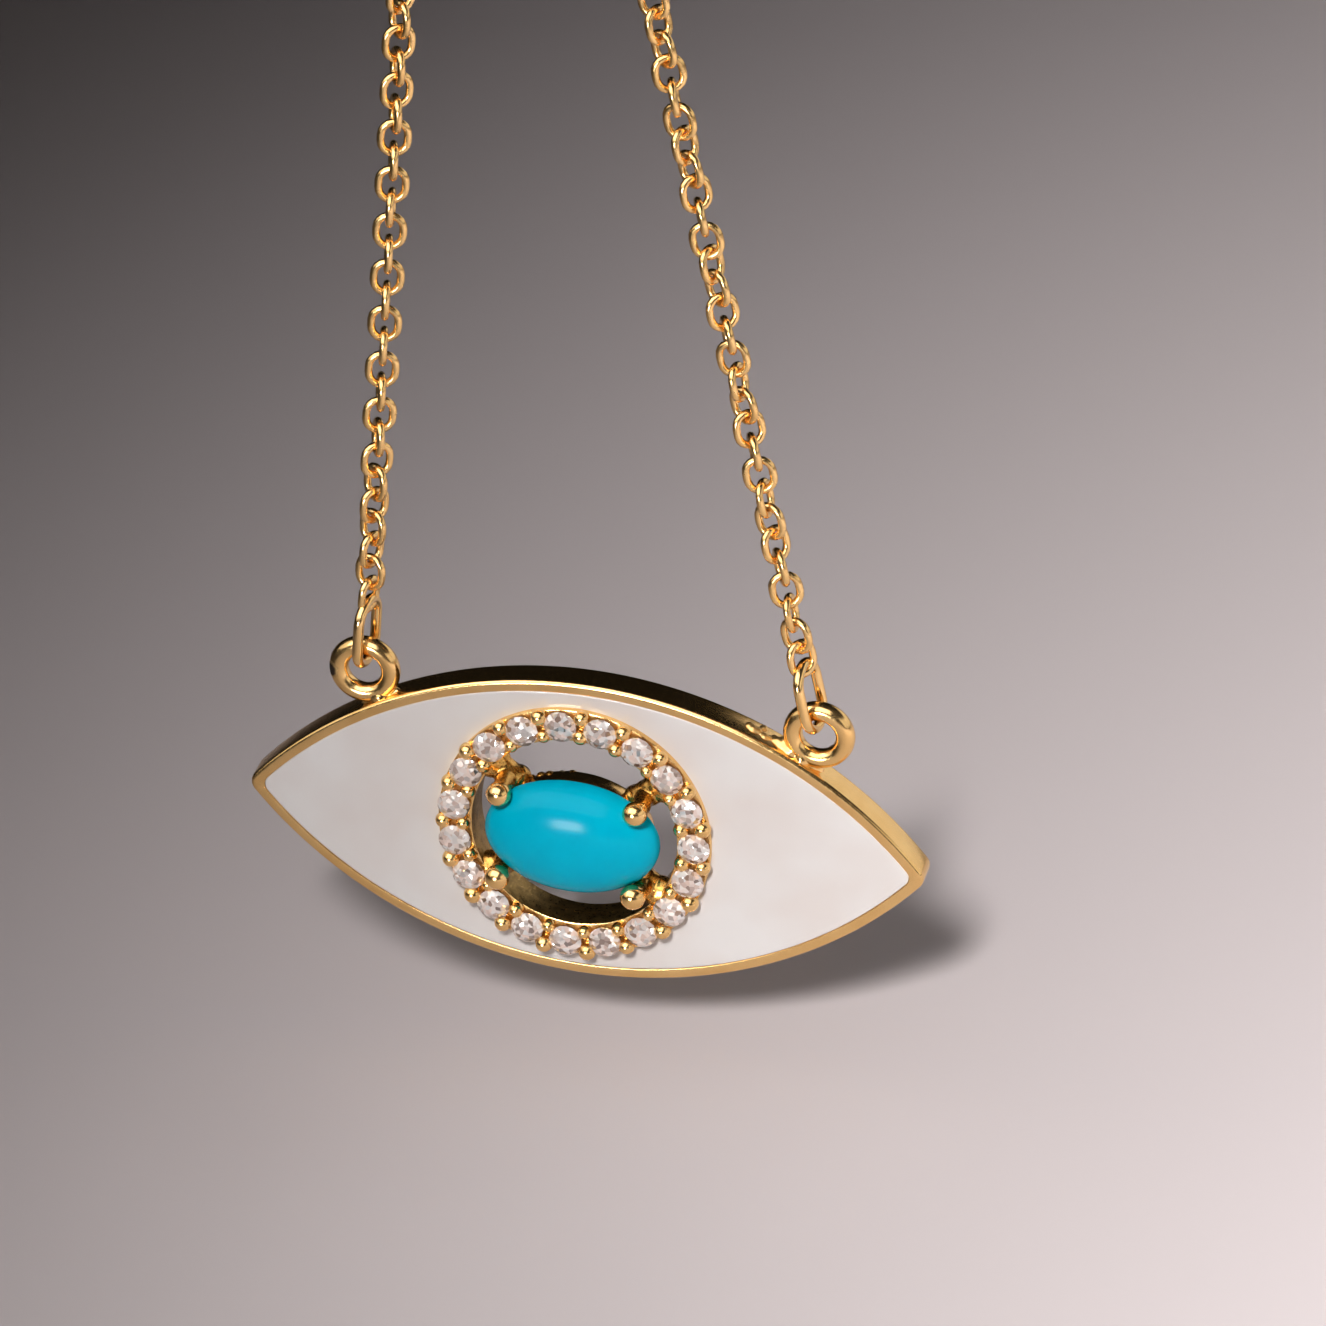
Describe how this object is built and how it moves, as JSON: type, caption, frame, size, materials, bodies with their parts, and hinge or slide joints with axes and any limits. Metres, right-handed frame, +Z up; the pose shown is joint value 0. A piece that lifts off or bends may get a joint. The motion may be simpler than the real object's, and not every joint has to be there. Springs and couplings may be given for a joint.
{
  "type": "eye pendant necklace",
  "caption": "Eye-shaped enamelled pendant with an oval turquoise in an open halo of small round stones, hung from two soldered rings on a fine cable chain.",
  "frame": {"origin": "the point inside the top of the clasp ring where a hook or peg holds the necklace", "axes": "+Z up along the hanging necklace, the enamelled face looks towards -Y, +X runs along the eye towards its lower tip"},
  "size_m": [0.0298, 0.004, 0.2154],
  "materials": {
    "gold": "satin",
    "gold_wire": "polished",
    "enamel": "gloss",
    "turquoise": "polished",
    "diamond": "polished"
  },
  "bodies": {
    "chain": {"chain_left": "gold_wire", "chain_right": "gold_wire", "jump_ring_left": "gold_wire", "jump_ring_right": "gold_wire", "clasp": "gold_wire"},
    "pendant": {"eye_frame": "gold", "enamel": "enamel", "turquoise": "turquoise", "diamond_01": "diamond", "diamond_02": "diamond", "diamond_03": "diamond", "diamond_04": "diamond", "diamond_05": "diamond", "diamond_06": "diamond", "diamond_07": "diamond", "diamond_08": "diamond", "diamond_09": "diamond", "diamond_10": "diamond", "diamond_11": "diamond", "diamond_12": "diamond", "diamond_13": "diamond", "diamond_14": "diamond", "diamond_15": "diamond", "diamond_16": "diamond", "diamond_17": "diamond", "diamond_18": "diamond", "diamond_19": "diamond"}
  },
  "joints": [
    {"name": "pendant_swing", "type": "hinge", "parent": "chain", "child": "pendant", "pos_m": [0.0001, 0, -0.19994], "axis": [0.9951, 0, -0.0992], "range_deg": [-60, 60]}
  ]
}
